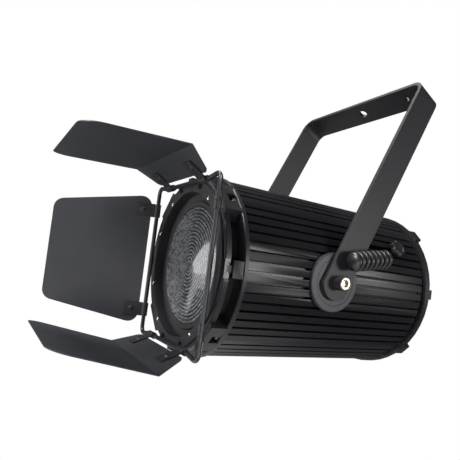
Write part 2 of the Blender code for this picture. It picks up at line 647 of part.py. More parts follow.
def make_lens():
    """A stepped planoconvex lens in a holder, kept by a screwed ring."""
    lens_rear = HOLDER_FRONT + 0.0030 + LENS_EDGE
    holder_outer = LENS_RADIUS + 0.0178
    seat = LENS_RADIUS - 0.0030
    profile = [(holder_outer, lens_rear + 0.0030), (holder_outer, HOLDER_FRONT),
               (LENS_RADIUS + 0.0060, HOLDER_FRONT), (LENS_RADIUS + GAP, HOLDER_FRONT + 0.0020),
               (LENS_RADIUS + GAP, lens_rear + GAP), (seat, lens_rear + GAP), (seat, lens_rear + 0.0030)]
    place(turned("lens_holder", BLACK_CAST, profile, 48), head, (0, 0, 0), TO_REAR)

    lens_front = lens_rear - LENS_EDGE
    steps = [(0, lens_rear), (LENS_RADIUS, lens_rear), (LENS_RADIUS, lens_front)]
    zone = (LENS_RADIUS - 0.004) / LENS_STEPS
    curvature = 0.135
    for k in reversed(range(LENS_STEPS)):
        outer, inner = (k + 1) * zone, k * zone
        rise = (outer ** 2 - inner ** 2) / (2 * curvature)
        steps += [(outer, lens_front), (max(inner, 0), lens_front - rise)]
    lens = turned("fresnel_lens", LENS_GLASS, steps[:-1] + [(0, steps[-1][1])], 48, closed=False)
    place(lens, head, (0, 0, 0), TO_REAR)

    ring = [(LENS_RADIUS + 0.0052, HOLDER_FRONT - GAP), (LENS_RADIUS + 0.0052, HOLDER_FRONT - 0.0016),
            (LENS_RADIUS - 0.0030, HOLDER_FRONT - 0.0016), (LENS_RADIUS - 0.0030, lens_front - GAP),
            (LENS_RADIUS - GAP, lens_front - GAP), (LENS_RADIUS - GAP, HOLDER_FRONT - GAP)]
    place(turned("lens_retaining_ring", BLACK_CAST, ring, 48), head, (0, 0, 0), TO_REAR)


# ---------------------------------------------------------------- barn door
def make_barn_ring():
    """A flat ring behind the lips, with four arms in front of them that carry the wire."""
    inner = APERTURE_RADIUS
    ring = turned("barn_door_ring", BLACK_COAT,
                  ring_profile(inner, RING_RADIUS, RING_FRONT - WIRE_Y, RING_REAR - WIRE_Y), 48)
    place(ring, barn_door, (0, 0, 0), TO_REAR)
    arm_rear, foot = RETAINER_FRONT - GAP - WIRE_Y, inner + 0.0011
    bm = bmesh.new()
    for sx, turn in ((1, 0), (-1, 0), (1, 180), (-1, 180)):
        left, right = sorted((sx * (ARM_X - 0.003), sx * (ARM_X + 0.003)))
        add_box(bm, (left, WIRE_RADIUS + GAP, foot),
                (right, arm_rear, WIRE_HALF_HEIGHT + 0.0028), spin_y(turn))
        add_box(bm, (left + 0.0001, WIRE_RADIUS + 2 * GAP, foot + 0.0001),
                (right - 0.0001, RING_FRONT - WIRE_Y + 0.001, foot + 0.0023), spin_y(turn))
    arms = piece("barn_ring_arms", mesh_from("barn_ring_arms", bm), None, smooth=0)
    place(arms, barn_door)
    add_modifier(ring, "BOOLEAN", object=arms, operation="UNION", solver="EXACT", use_self=True)


def wire_route():
    """The closed route of the wire: straight rods whose corners stand a little proud."""
    x, z, hump = WIRE_HALF_WIDTH, WIRE_HALF_HEIGHT, WIRE_HUMP
    corners, radii = [], []
    for sx, sz in ((1, 1), (-1, 1), (-1, -1), (1, -1)):
        peak = (sx * x, sz * (z + hump))
        dip = (sx * (x - 0.030), sz * z)
        pair = [(peak, 0.009), (dip, 0.030)]
        for point, radius in (pair if sx * sz > 0 else reversed(pair)):
            corners.append(point)
            radii.append(radius)
    return rounded(corners, radii, 6)


def make_wire_frame():
    curve = bpy.data.curves.new("wire_frame", "CURVE")
    curve.dimensions = "3D"
    curve.bevel_depth = WIRE_RADIUS
    curve.bevel_resolution = 2
    route = wire_route()
    spline = curve.splines.new("POLY")
    spline.points.add(len(route) - 1)
    for point, (x, z) in zip(spline.points, route):
        point.co = (x, 0, z, 1)
    spline.use_cyclic_u = True
    place(piece("wire_frame", curve_mesh("wire_frame", curve), BLACK_STEEL), barn_door)


def leaf_strip(name, thickness, half):
    """A creased strip: flat from the hinge to the crease, then bent towards the lamp axis.

    In the leaf's own frame X lies along the hinge, -Y points along the inner panel and +Z is outwards.
    """
    bend = radians(LEAF_CREASE)
    crease = Vector((LEAF_INNER, 0))
    tip = crease + LEAF_OUTER * Vector((cos(bend), -sin(bend)))
    lift = Vector((0, thickness))
    over = Vector((sin(bend), cos(bend))) * thickness
    miter = Vector((tan(bend / 2) * thickness, thickness))
    start = Vector((LEAF_START, 0))
    loop = [tuple(p) for p in (start, crease, tip, tip + over, crease + miter, start + lift)]
    return flat(name, BLACK_COAT, [loop], 2 * half), tip.x


def place_strip(obj, axis):
    """The strip's outline runs along +X and +Y of its curve; this sends them to -Y and +Z."""
    place(obj, axis, (0, 0, 0), (pi / 2, 0, -pi / 2))


def make_clips(label, axis, offsets):
    """Sheet clips on the leaf's inner face that wrap the wire, each riveted through the leaf."""
    half, plate_low = CLIP_WIDTH / 2, -GAP - CLIP_SHEET
    rivet_y = CLIP_REACH - RIVET_INSET
    for number, offset in enumerate(offsets, 1):
        name = f"clip_{label}_{number}"
        clip = boxes(name, BLACK_COAT, [((offset - half, -CLIP_REACH, plate_low),
                                         (offset + half, -WIRE_RADIUS - 2 * RUN, -GAP))])
        barrel = cylinders(name + "_barrel", None, KNUCKLE_RADIUS, CLIP_WIDTH - 0.001,
                           [along((1, 0, 0), (offset - half + 0.0005, 0, 0))], 12)
        bore = cylinders(name + "_bore", None, WIRE_RADIUS + RUN, CLIP_WIDTH + 0.01,
                         [along((1, 0, 0), (offset - half - 0.005, 0, 0))], 12)
        at = Matrix.Translation((offset, -rivet_y, 0))
        rivet = bmesh.new()
        add_cylinder(rivet, 0.0036, 0.0018, at @ along((0, 0, -1), (0, 0, plate_low + 0.0004)), 10, 0.0022)
        rivet = piece(name + "_rivet", mesh_from(name + "_rivet", rivet), None)
        shank = cylinders(name + "_shank", None, RIVET_RADIUS, SHEET + 0.0030,
                          [at @ Matrix.Translation((0, 0, -GAP - 0.0010))], 10)
        tail = cylinders(name + "_tail", None, 0.0030, 0.0010,
                         [at @ Matrix.Translation((0, 0, SHEET + GAP))], 10, 0.0020)
        place(clip, axis)
        for cutter, operation in ((barrel, "UNION"), (bore, "DIFFERENCE"), (rivet, "UNION"),
                                  (shank, "UNION"), (tail, "UNION")):
            place(cutter, axis)
            boolean(clip, cutter, operation)
    holes = cylinders(label + "_rivet_holes", None, RIVET_RADIUS + GAP, 0.02,
                      [Matrix.Translation((o, -rivet_y, -0.01)) for o in offsets], 12)
    return place(holes, axis)


def leaf_axis(label, location, side_turn, flare):
    """An empty on a wire rod, whose -Y points along the leaf, with the flare counted outwards."""
    holder = frame("leaf_" + label + "_rod", location, (0, side_turn, 0), barn_door)
    return frame("leaf_" + label + "_axis", (0, 0, 0), (-radians(flare), 0, 0), holder)


def make_wide_leaf(label, sign, flare):
    """The top or bottom leaf: a narrow root that widens to a creased, round-cornered flap."""
    turn = 0 if sign > 0 else pi
    axis = leaf_axis(label, (0, 0, sign * WIRE_HALF_HEIGHT), turn, flare)
    leaf, plan_tip = leaf_strip("leaf_" + label, SHEET, LEAF_HALF + 0.01)
    place_strip(leaf, axis)
    root, wide = LEAF_ROOT_HALF, LEAF_HALF
    far = LEAF_INNER
    outline = [(-root, -LEAF_START - 0.004), (-root + 0.008, -LEAF_START + 0.001),
               (root - 0.008, -LEAF_START + 0.001), (root, -LEAF_START - 0.004), (wide, -far),
               (wide, -plan_tip + 0.0008), (-wide, -plan_tip + 0.0008), (-wide, -far)]
    blank = flat(label + "_blank", None,
                 [rounded(outline, [0, 0, 0, 0, 0.004, LEAF_CORNER, LEAF_CORNER, 0.004])],
                 0.4)
    place(blank, axis)
    boolean(leaf, blank, "INTERSECT")
    boolean(leaf, make_clips(label, axis, (-TOP_CLIP_X, TOP_CLIP_X)))


def make_side_leaf(label, sign, flare):
    """A side leaf: a flat plate that narrows a little outwards, with round corners."""
    axis = leaf_axis(label, (sign * WIRE_HALF_WIDTH, 0, 0), sign * pi / 2, flare)
    root, tip = SIDE_ROOT_HALF, SIDE_TIP_HALF
    start, end = LEAF_START, SIDE_LENGTH
    outline = [(-root, -start), (root, -start), (tip, -end), (-tip, -end)]
    leaf = flat("leaf_" + label, BLACK_COAT, [rounded(outline, [SIDE_CORNER] * 4)], SHEET)
    place(leaf, axis, (0, 0, SHEET / 2))
    boolean(leaf, make_clips(label, axis, (-SIDE_CLIP_Z, SIDE_CLIP_Z)))


# ---------------------------------------------------------------- zoom carriage
def make_carriage():
    """Plate, LED, reflector and heat sink that slide on two rods, moved by a knob in the slot."""
    plate = turned("carriage_plate", BARE_ALUMINIUM,
                   [(0, CARRIAGE_THICKNESS / 2), (CARRIAGE_RADIUS, CARRIAGE_THICKNESS / 2),
                    (CARRIAGE_RADIUS, -CARRIAGE_THICKNESS / 2), (0, -CARRIAGE_THICKNESS / 2)],
                   64, closed=False)
    place(plate, carriage, (0, 0, 0), TO_REAR)
    holes = cylinders("carriage_rod_holes", None, ROD_RADIUS + RUN, 0.02,
                      [along((0, 1, 0), (s * ROD_X, -0.01, 0)) for s in (1, -1)], 24)
    vents = cylinders("carriage_vents", None, 0.007, 0.02,
                      [spin_y(a) @ along((0, 1, 0), (0.084, -0.01, 0))
                        for a in (60, 90, 120, 240, 270, 300)], 20)
    for cutter in (holes, vents):
        place(cutter, carriage)
        boolean(plate, cutter)
    lower = boxes("carriage_lower_cut", None, [((-0.12, -0.01, -0.12), (0.12, 0.01, CARRIAGE_FLAT))])
    place(lower, carriage)
    boolean(plate, lower)
    lift = 0.0062
    block = boxes("carriage_block", None, [((0.088, -0.0055, -lift), (BORE_RADIUS - 0.0011, 0.0055, lift))],
                  spin_y(KNOB_ANGLE))
    stem_hole = cylinders("carriage_stem_hole", None, 0.0015 + GAP / 2, 0.012,
                          [spin_y(KNOB_ANGLE) @ along((1, 0, 0), (0.096, 0, 0))], 16)
    for cutter, operation in ((block, "UNION"), (stem_hole, "DIFFERENCE")):
        place(cutter, carriage)
        boolean(plate, cutter, operation)

    face = -CARRIAGE_THICKNESS / 2 - GAP
    board = cylinders("led_board", LED_CERAMIC, LED_RADIUS, LED_THICKNESS,
                      [along((0, -1, 0), (0, face, 0))], 48)
    place(board, carriage)
    sink_front = CARRIAGE_THICKNESS / 2 + GAP
    sink = boxes("heat_sink", BARE_ALUMINIUM,
                 [((-SINK_RADIUS * 0.8, sink_front, -SINK_RADIUS * 0.8),
                    (SINK_RADIUS * 0.8, sink_front + 0.006, SINK_RADIUS * 0.8))])
    place(sink, carriage)
    fin_count = 13
    spacing = SINK_RADIUS * 1.6 / (fin_count - 1)
    fins = bmesh.new()
    for k in range(fin_count):
        x = -SINK_RADIUS * 0.8 + k * spacing
        x = min(max(x, -SINK_RADIUS * 0.8 + 0.0009), SINK_RADIUS * 0.8 - 0.0009)
        add_box(fins, (x - 0.0008, sink_front + 0.005, -SINK_RADIUS * 0.79),
                (x + 0.0008, sink_front + SINK_LENGTH, SINK_RADIUS * 0.79))
    fins = piece("sink_fins", mesh_from("sink_fins", fins), None, smooth=0)
    place(fins, carriage)
    boolean(sink, fins, "UNION")

    stem = turned("zoom_stem", BRIGHT_STEEL,
                  [(0, KNOB_LIFT - GAP), (KNOB_STEM_RADIUS, KNOB_LIFT - GAP),
                   (KNOB_STEM_RADIUS, BORE_RADIUS + 0.0006 - BODY_RADIUS),
                    (0.0015, BORE_RADIUS + 0.0006 - BODY_RADIUS),
                   (0.0015, BORE_RADIUS - 0.0076 - BODY_RADIUS), (0, BORE_RADIUS - 0.0076 - BODY_RADIUS)],
                  24, closed=False)
    place(stem, knob_axis)
    lobes = []
    for k in range(36):
        angle = 2 * pi * k / 36
        radius = KNOB_RADIUS * (0.90 + 0.10 * cos(6 * angle))
        lobes.append((radius * cos(angle), radius * sin(angle)))
    knob = flat("zoom_knob", BLACK_PLASTIC, [lobes], KNOB_HEIGHT)
    place(knob, knob_axis, (0, 0, KNOB_LIFT + KNOB_HEIGHT / 2))


def make_guides():
    """Two rods let into the bezel's flange and the rear cap."""
    front = BODY_FRONT - GAP - ROD_BITE + GAP
    rear = CAP_FRONT + ROD_BITE - GAP
    for side, sign in (("near", 1), ("far", -1)):
        place(cylinders("guide_rod_" + side, BRIGHT_STEEL, ROD_RADIUS, rear - front,
                        [along((0, 1, 0), (sign * ROD_X, front, 0))], 24), head)


def make_driver_board():
    floor = -0.0965
    corners = [((-0.034, -0.108, floor), (0.034, 0.010, floor + 0.0016))]
    for x, y, width, depth, height in ((-0.018, -0.085, 0.016, 0.022, 0.011),
                                       (0.014, -0.080, 0.020, 0.026, 0.009),
                                       (0.000, -0.045, 0.030, 0.018, 0.006),
                                       (-0.016, -0.012, 0.012, 0.012, 0.013),
                                       (0.016, -0.012, 0.012, 0.012, 0.013)):
        corners.append(((x - width / 2, y - depth / 2, floor + 0.001),
                        (x + width / 2, y + depth / 2, floor + height)))
    board = boxes("driver_board", BOARD_GREEN, corners[:1])
    place(board, head)
    for number, corner in enumerate(corners[1:]):
        block = boxes(f"board_block_{number}", None, [corner])
        place(block, head)
        boolean(board, block, "UNION")


# ---------------------------------------------------------------- rear
def make_rear_cap():
    """A cast rim on a dark neck, with a boss at each long screw and a foot on each side."""
    neck = 0.113
    rim_front = CAP_FRONT + CAP_NECK
    profile = [(CAP_RADIUS - 0.0015, CAP_REAR), (CAP_RADIUS, CAP_REAR - 0.0015), (CAP_RADIUS, rim_front),
               (neck, rim_front), (neck, CAP_FRONT), (PANEL_RADIUS - 0.0035, CAP_FRONT),
               (PANEL_RADIUS - 0.0035, PANEL_FRONT - GAP), (PANEL_RADIUS + GAP, PANEL_FRONT - GAP),
               (PANEL_RADIUS + GAP, CAP_REAR)]
    cap = turned("rear_cap", BLACK_CAST, profile, 48)
    place(cap, head, (0, 0, 0), TO_REAR)
    bm = bmesh.new()
    for q in QUARTERS:
        add_box(bm, (0.104, rim_front + 0.0005, -0.009),
                (CAP_RADIUS + 0.0030, CAP_REAR + 0.0030, 0.009), spin_y(q))
    for q in (0, 90, 180, 270):
        add_box(bm, (0.106, rim_front + 0.003, -0.007),
                (CAP_RADIUS - 0.0012, CAP_REAR + 0.0048, 0.007), spin_y(q))
    bosses = piece("cap_bosses", mesh_from("cap_bosses", bm), None, smooth=0)
    holes = cylinders("cap_tie_holes", None, SCREW_RADIUS + GAP, 0.01 + CAP_NECK + TIE_BITE + GAP,
                      [spin_y(q) @ along((0, 1, 0), (SCREW_CIRCLE, CAP_FRONT - 0.01, 0))
                        for q in QUARTERS], 16)
    rod_holes = cylinders("cap_rod_holes", None, ROD_RADIUS + GAP, 0.01,
                          [along((0, 1, 0), (s * ROD_X, CAP_FRONT + ROD_BITE - 0.01, 0))
                            for s in (1, -1)], 24)
    for cutter, operation in ((bosses, "UNION"), (holes, "DIFFERENCE"), (rod_holes, "DIFFERENCE")):
        place(cutter, head)
        boolean(cap, cutter, operation)


SOCKET_Z = -0.073
SOCKET_XS = (-0.040, 0.008, 0.040)
SOCKET_NAMES = ("power_inlet", "data_inlet", "data_outlet")
SOCKET_RADIUS = 0.0110
DISPLAY_Z = -0.024
BUTTON_Z = -0.047
BUTTON_XS = tuple((k - 1.5) * BUTTON_PITCH for k in range(4))


def make_rear_panel():
    """The panel with its fan opening, display, buttons and sockets."""
    panel = turned("rear_panel", BLACK_COAT,
                   [(0, PANEL_THICKNESS), (PANEL_RADIUS, PANEL_THICKNESS), (PANEL_RADIUS, 0), (0, 0)],
                   48, closed=False)
    place(panel, head, (0, PANEL_FRONT, 0), TO_REAR)
    rearward = [along((0, 1, 0), (x, PANEL_FRONT - 0.01, SOCKET_Z)) for x in SOCKET_XS]
    cuts = [cylinders("fan_opening", None, FAN_RADIUS, 0.03,
                      [along((0, 1, 0), (0, PANEL_FRONT - 0.01, FAN_Z))], 32),
            cylinders("socket_openings", None, SOCKET_RADIUS + 2 * GAP, 0.03, rearward, 24),
            cylinders("button_openings", None, BUTTON_RADIUS + 2 * GAP, 0.03,
                      [along((0, 1, 0), (x, PANEL_FRONT - 0.01, BUTTON_Z)) for x in BUTTON_XS], 16),
            boxes("display_opening", None, [((-0.0233, PANEL_FRONT - 0.01, DISPLAY_Z - 0.0083),
                                             (0.0233, PANEL_REAR + 0.01, DISPLAY_Z + 0.0083))])]
    for cutter in cuts:
        place(cutter, head)
        boolean(panel, cutter)
    place(boxes("display_window", LENS_GLASS, [((-0.023, PANEL_FRONT, DISPLAY_Z - 0.008),
                                                (0.023, PANEL_REAR - 0.0004, DISPLAY_Z + 0.008))]), head)
    for number, x in enumerate(BUTTON_XS, 1):
        profile = [(0, PANEL_THICKNESS + 0.0022), (BUTTON_RADIUS - 0.0006, PANEL_THICKNESS + 0.0022),
                   (BUTTON_RADIUS, PANEL_THICKNESS + 0.0016), (BUTTON_RADIUS, -0.0004 - BUTTON_TRAVEL),
                   (BUTTON_RADIUS + 0.0012, -0.0004 - BUTTON_TRAVEL),
                    (BUTTON_RADIUS + 0.0012, -0.0016 - BUTTON_TRAVEL),
                   (0, -0.0016 - BUTTON_TRAVEL)]
        profile = [(r, z + 0.0004 + BUTTON_TRAVEL - GAP if z < 0 else z) for r, z in profile]
        button = turned(f"menu_button_{number}", BLACK_PLASTIC, profile, 16, closed=False)
        place(button, head, (x, PANEL_FRONT, BUTTON_Z), TO_REAR)

    for name, x in zip(SOCKET_NAMES, SOCKET_XS):
        depth = 0.014
        rim = SOCKET_RADIUS + 0.0022
        wall = 0.0018
        floor = PANEL_THICKNESS - 0.0014
        profile = [(0, floor), (SOCKET_RADIUS - wall, floor),
                   (SOCKET_RADIUS - wall, PANEL_THICKNESS + 0.0022), (rim, PANEL_THICKNESS + 0.0022),
                   (rim, PANEL_THICKNESS + GAP), (SOCKET_RADIUS, PANEL_THICKNESS + GAP),
                   (SOCKET_RADIUS, PANEL_THICKNESS - depth), (0, PANEL_THICKNESS - depth)]
        socket = turned(name, BLACK_PLASTIC, profile, 24, closed=False)
        place(socket, head, (x, PANEL_FRONT, SOCKET_Z), TO_REAR)


def make_fan():
    """A square frame behind the panel, a bladed rotor in it, and a guard outside."""
    half = FAN_RADIUS + 0.0025
    square = rounded([(-half, -half), (half, -half), (half, half), (-half, half)], [0.004] * 4, 3)
    housing = flat("fan_frame", BLACK_PLASTIC, [square, circle(FAN_RADIUS, 32)], FAN_DEPTH - GAP)
    place(housing, fan_axis)
    struts = boxes("fan_struts", None, [((-0.0015, -FAN_RADIUS - 0.001, -FAN_DEPTH / 2 + 0.0004),
                                         (0.0015, FAN_RADIUS + 0.001, -FAN_DEPTH / 2 + 0.0024))])
    place(struts, fan_axis)
    boolean(housing, struts, "UNION")

    hub = turned("fan_rotor", BLACK_PLASTIC,
                 [(0, 0.0062), (0.0128, 0.0062), (0.0140, 0.0050), (0.0140, -0.0042),
                                              (0, -0.0042)], 32, closed=False)
    place(hub, fan_axis)
    blades = bmesh.new()
    for k in range(7):
        turn = Matrix.Rotation(2 * pi * k / 7, 4, "Z") @ Matrix.Rotation(radians(32), 4, "X")
        add_box(blades, (0.0125, -0.0062, -0.0006), (FAN_RADIUS - 0.0016, 0.0062, 0.0006), turn)
    blades = piece("fan_blades", mesh_from("fan_blades", blades), None, smooth=0)
    place(blades, fan_axis)
    boolean(hub, blades, "UNION")

    guard_rear = PANEL_THICKNESS + GAP + 0.0016
    guard = boxes("fan_guard", BLACK_STEEL, [((-FAN_RADIUS - 0.0025, -0.0009, PANEL_THICKNESS + GAP),
                                              (FAN_RADIUS + 0.0025, 0.0009, guard_rear))])
    place(guard, head, (0, PANEL_FRONT, FAN_Z), TO_REAR)
    cross = boxes("guard_cross", None, [((-0.0009, -FAN_RADIUS - 0.0025, PANEL_THICKNESS + GAP + 0.0001),
                                         (0.0009, FAN_RADIUS + 0.0025, guard_rear - 0.0001))])
    place(cross, head, (0, PANEL_FRONT, FAN_Z), TO_REAR)
    boolean(guard, cross, "UNION")
    for number in range(3):
        radius = 0.0100 + number * 0.0105
        ring = turned(f"guard_ring_{number}", None,
                      ring_profile(radius, radius + 0.0018, PANEL_THICKNESS + GAP + 0.0002,
                                    guard_rear - 0.0002), 24)
        place(ring, head, (0, PANEL_FRONT, FAN_Z), TO_REAR)
        boolean(guard, ring, "UNION")


make_yoke()
make_tilt_lock()
make_pivots()
make_housing()
make_bezel()
make_tie_bolts()
make_retainers()
make_latch()
make_lens()
make_barn_ring()
make_wire_frame()
make_wide_leaf("top", 1, TOP_FLARE)
make_wide_leaf("bottom", -1, BOTTOM_FLARE)
make_side_leaf("near", 1, NEAR_FLARE)
make_side_leaf("far", -1, FAR_FLARE)
make_carriage()
make_guides()
make_driver_board()
make_rear_cap()
make_rear_panel()
make_fan()
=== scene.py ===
"""Looks of a stage fresnel spotlight.

Black powder coat on the yoke and leaves, black anodised fins, coated castings at both ends, moulded
black plastic on the lever and knobs, nickel-plated bolts and a stippled stepped lens.
"""

import bmesh
import bpy
import json
import numpy as np
from math import cos, pi, radians, sin
from mathutils import Matrix, Vector


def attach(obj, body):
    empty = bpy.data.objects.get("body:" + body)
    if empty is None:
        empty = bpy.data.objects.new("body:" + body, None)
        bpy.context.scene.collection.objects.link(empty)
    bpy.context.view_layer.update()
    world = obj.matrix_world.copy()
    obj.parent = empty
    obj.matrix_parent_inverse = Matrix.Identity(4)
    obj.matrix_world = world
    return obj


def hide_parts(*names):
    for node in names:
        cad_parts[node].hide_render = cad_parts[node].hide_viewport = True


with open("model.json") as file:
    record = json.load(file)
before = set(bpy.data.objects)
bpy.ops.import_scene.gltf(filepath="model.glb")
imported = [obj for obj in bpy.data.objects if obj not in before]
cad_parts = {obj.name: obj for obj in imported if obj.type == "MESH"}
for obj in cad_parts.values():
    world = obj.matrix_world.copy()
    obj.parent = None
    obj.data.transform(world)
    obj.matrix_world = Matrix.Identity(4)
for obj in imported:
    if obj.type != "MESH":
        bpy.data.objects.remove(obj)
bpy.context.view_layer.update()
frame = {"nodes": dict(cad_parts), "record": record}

# ------------------------------------------------------------------ places, in metres
PIVOT_Z = -0.320                                           # the tilt axis
TILT = radians(25.2)                                       # the lamp's nose points this far down
PIVOT = Matrix.Translation((0, 0, PIVOT_Z))
LAMP = PIVOT @ Matrix.Rotation(TILT, 4, "X")               # lamp frame: +Y to the rear, on its axis
TO_REAR = Matrix.Rotation(-pi / 2, 4, "X")                 # a turned piece's +Z to the lamp's +Y
TO_FRONT = Matrix.Rotation(pi / 2, 4, "X")                 # +Z to the lamp's -Y
TO_NEAR = Matrix.Rotation(pi / 2, 4, "Y")                  # +Z to +X
TO_FAR = Matrix.Rotation(-pi / 2, 4, "Y")                  # +Z to -X
OPTICAL = LAMP @ TO_REAR
SIDES = (("near", LAMP @ TO_NEAR), ("far", LAMP @ TO_FAR))
LEVER_X, LEVER_Z, LEVER_TURN = 0.1393, 0.032, radians(35)  # from the tilt axis
LEVER = (PIVOT @ Matrix.Translation((LEVER_X, 0, LEVER_Z))
         @ Matrix.Rotation(LEVER_TURN, 4, "X") @ TO_REAR)
KNOB_ANGLE = radians(28)                                   # up the near side
KNOB_REACH, KNOB_Y = 0.118, 0.119
KNOB = (LAMP @ Matrix.Rotation(-KNOB_ANGLE, 4, "Y")
        @ Matrix.Translation((KNOB_REACH, KNOB_Y, 0)) @ TO_NEAR)
WIRE_Y = -0.1652                                           # plane of the leaves' wire frame
RING_FACE = -0.1584                                        # front of the barn-door ring
HOLDER_FRONT = -0.145
PANEL_REAR = 0.1818
FAN_Z = 0.036
LENS_ZONES = 14
LENS_CORE = 0.0090                                         # radius of the plain middle of the lens
LENS_CUT = 0.0755                                          # radius where its steps end
LENS_EDGE = 0.0795
LENS_PITCH = (LENS_CUT - LENS_CORE) / LENS_ZONES

# ------------------------------------------------------------------ materials


def linear(code):
    """An sRGB hex colour turned linear: c/12.92 up to 0.04045, else ((c + 0.055) / 1.055)^2.4."""
    value = np.array([int(code[i:i + 2], 16) / 255 for i in (1, 3, 5)])
    value = np.where(value <= 0.04045, value / 12.92, ((value + 0.055) / 1.055) ** 2.4)
    return (*value, 1.0)


def add(tree, kind, settings=None, links=None, ramp=None):
    """Adds a shader node: settings are its properties or sockets, links feed its sockets."""
    made = tree.nodes.new("ShaderNode" + kind)
    for key, value in (settings or {}).items():
        if isinstance(key, str) and hasattr(made, key):
            setattr(made, key, value)
        else:
            made.inputs[key].default_value = value
    for key, output in (links or {}).items():
        tree.links.new(output, made.inputs[key])
    if ramp:
        stops = made.color_ramp.elements
        while len(stops) < len(ramp):
            stops.new(0.5)
        for stop, (place, colour) in zip(stops, ramp):
            stop.position, stop.color = place, colour
    return made


def blank(name):
    material = bpy.data.materials.new(name)
    material.use_nodes = True
    tree = material.node_tree
    return material, tree, tree.nodes["Principled BSDF"], add(tree, "TexCoord").outputs["Object"]


def join(tree, shader, colour=None, roughness=None, normal=None):
    for socket, output in (("Base Color", colour), ("Roughness", roughness), ("Normal", normal)):
        if output is not None:
            tree.links.new(output, shader.inputs[socket])


def noise(tree, place, scale, detail=2.0):
    """Soft noise with so many cells to the metre."""
    settings = {"Scale": scale, "Detail": detail}
    return add(tree, "TexNoise", settings, {"Vector": place}).outputs["Fac"]


def tones(tree, value, *stops):
    """Colours blended along a value. A stop is a value from 0 to 1 and its colour."""
    ramp = [(at, linear(code)) for at, code in stops]
    return add(tree, "ValToRGB", links={"Fac": value}, ramp=ramp).outputs["Color"]


def spread(tree, value, low, high):
    """A value's 0 to 1 turned into low to high."""
    settings = {"To Min": low, "To Max": high}
    return add(tree, "MapRange", settings, {"Value": value}).outputs["Result"]


def bumped(tree, height, strength, depth):
    """The normal of a surface with this height on it. depth is in metres."""
    settings = {"Strength": strength, "Distance": depth}
    return add(tree, "Bump", settings, {"Height": height}).outputs["Normal"]


def in_lamp(tree, place, stretch=1):
    """Places in the lamp's own frame. stretch draws a pattern out along the tube."""
    settings = {"vector_type": "TEXTURE", "Location": (0, 0, PIVOT_Z), "Rotation": (TILT, 0, 0),
                "Scale": (1, stretch, 1)}
    return add(tree, "Mapping", settings, {"Vector": place}).outputs["Vector"]


def coated(name, dark, light, rough_low, rough_high, peel_mm, depth_mm):
    """A baked black coat: large soft tone changes, an orange-peel bump and roughness to match."""
    material, tree, shader, place = blank(name)
    shader.inputs["IOR"].default_value = 1.50
    cloud = noise(tree, place, 14.0, 3.0)
    peel = noise(tree, place, 1000.0 / peel_mm)
    join(tree, shader, tones(tree, cloud, (0.30, dark), (0.72, light)),
         spread(tree, peel, rough_low, rough_high), bumped(tree, peel, 0.5, depth_mm / 1000))
    return material


def anodised_fins():
    """Black anodised aluminium extrusion: fine die lines along the tube, soft changes of tone."""
    material, tree, shader, place = blank("black_anodised_extrusion")
    shader.inputs["Metallic"].default_value = 0.25
    lines = noise(tree, in_lamp(tree, place, 50), 900.0)
    cloud = noise(tree, place, 9.0, 4.0)
    join(tree, shader, tones(tree, cloud, (0.30, "#0b0b0e"), (0.75, "#141418")),
         spread(tree, lines, 0.30, 0.42), bumped(tree, lines, 0.35, 0.00012))
    return material


def moulded(name, dark, light, roughness):
    """Moulded ABS: near-black, with a fine spark-eroded grain that breaks up the gloss."""
    grain_mm = 1.2
    material, tree, shader, place = blank(name)
    shader.inputs["IOR"].default_value = 1.54
    grain = noise(tree, place, 1000.0 / grain_mm, 3.0)
    cloud = noise(tree, place, 40.0)
    join(tree, shader, tones(tree, cloud, (0.3, dark), (0.7, light)),
         spread(tree, grain, roughness - 0.06, roughness + 0.08),
         bumped(tree, grain, 0.3, 0.00008))
    return material


def plated(name, pale_tone, deep_tone, roughness):
    """Plated steel: bright, faintly warm, with fine marks and a little tarnish."""
    material, tree, shader, place = blank(name)
    shader.inputs["Metallic"].default_value = 1.0
    marks = noise(tree, place, 1500.0)
    stain = noise(tree, place, 160.0, 4.0)
    join(tree, shader, tones(tree, stain, (0.35, deep_tone), (0.62, pale_tone)),
         spread(tree, marks, roughness - 0.06, roughness + 0.10))
    return material


def stippled_glass():
    """Pressed glass over a dark lamp house: dark, with a painted highlight at every step: a pale,
    broken ring line.
    """
    material, tree, shader, place = blank("stippled_lens_glass")
    for socket, value in (("IOR", 1.47), ("Transmission Weight", 0.30), ("Coat Weight", 0.6),
                          ("Coat Roughness", 0.10)):
        shader.inputs[socket].default_value = value
    # distance from the optical axis in steps of the lens, of which the fraction is 0 at each step
    per_step = 1 / LENS_PITCH
    flat = add(tree, "VectorMath", {"operation": "MULTIPLY", 1: (per_step, 0, per_step)},
               {0: in_lamp(tree, place)})
    reach = add(tree, "VectorMath", {"operation": "LENGTH"}, {0: flat.outputs["Vector"]})
    count = add(tree, "Math", {"operation": "SUBTRACT", 1: LENS_CORE / LENS_PITCH},
                {0: reach.outputs["Value"]})
    part = add(tree, "Math", {"operation": "FRACT"}, {0: count.outputs["Value"]})
    # painted highlight: a pale line at each step of the lens, broken up by noise, lightens the base
    # colour and sets the roughness
    edge = tones(tree, part.outputs["Value"], (0.0, "#ffffff"), (0.30, "#8a8a8a"),
                 (0.50, "#000000"), (0.88, "#000000"), (1.0, "#ffffff"))
    highlight_breaks = tones(tree, noise(tree, place, 210.0, 3.0), (0.34, "#8c8c8c"), (0.66, "#ffffff"))
    painted_ring_highlight = add(tree, "Math", {"operation": "MULTIPLY"}, {0: edge, 1: highlight_breaks}).outputs["Value"]
    pips = add(tree, "TexVoronoi", {"Scale": 520.0}, {"Vector": place}).outputs["Distance"]
    join(tree, shader, tones(tree, painted_ring_highlight, (0.0, "#37393d"), (0.9, "#b4b6bb")),
         spread(tree, painted_ring_highlight, 0.12, 0.40), bumped(tree, pips, 0.05, 0.0002))
    return material


